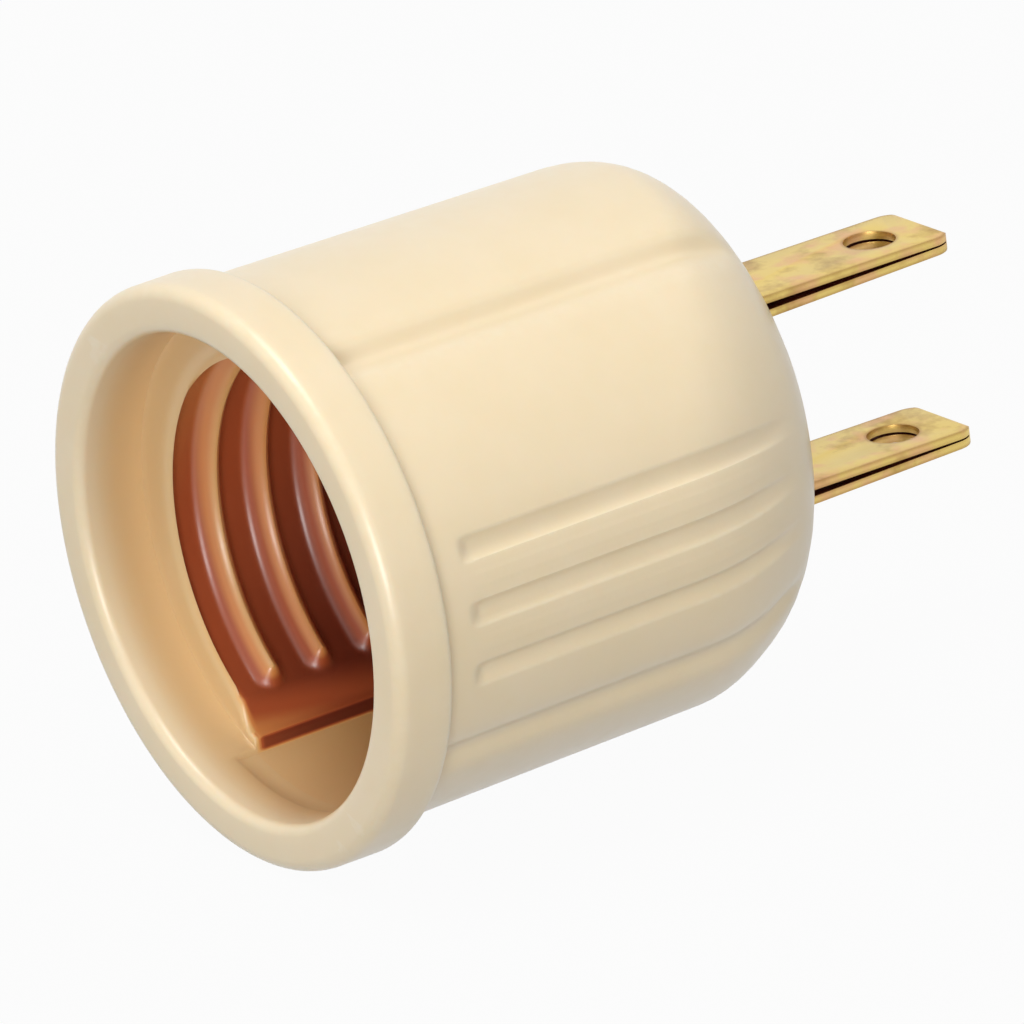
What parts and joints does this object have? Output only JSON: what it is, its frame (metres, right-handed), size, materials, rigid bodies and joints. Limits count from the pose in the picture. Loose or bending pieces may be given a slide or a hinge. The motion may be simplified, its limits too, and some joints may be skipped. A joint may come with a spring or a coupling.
{
  "type": "lamp socket adapter",
  "caption": "Plug-in lamp socket adapter: ivory moulded barrel with a screw socket for a lamp, ribbed grips and folded brass outlet blades.",
  "frame": {"origin": "centre of the flat face that seats on the outlet, midway between the blades", "axes": "+Y along the socket's axis towards the blades' tips, the mouth faces -Y; +Z from the lower blade to the upper one; +X across the blades' width, towards the grip seen in the picture"},
  "size_m": [0.0368, 0.0534, 0.0368],
  "materials": {
    "moulding": "gloss",
    "blade_brass": "polished",
    "spring_bronze": "satin",
    "screw_steel": "satin"
  },
  "bodies": {
    "root": {"body": "moulding", "upper_blade": "blade_brass", "lower_blade": "blade_brass", "centre_contact": "spring_bronze", "side_contact": "spring_bronze", "upper_screw": "screw_steel", "lower_screw": "screw_steel", "upper_washer": "screw_steel", "lower_washer": "screw_steel"}
  },
  "joints": []
}
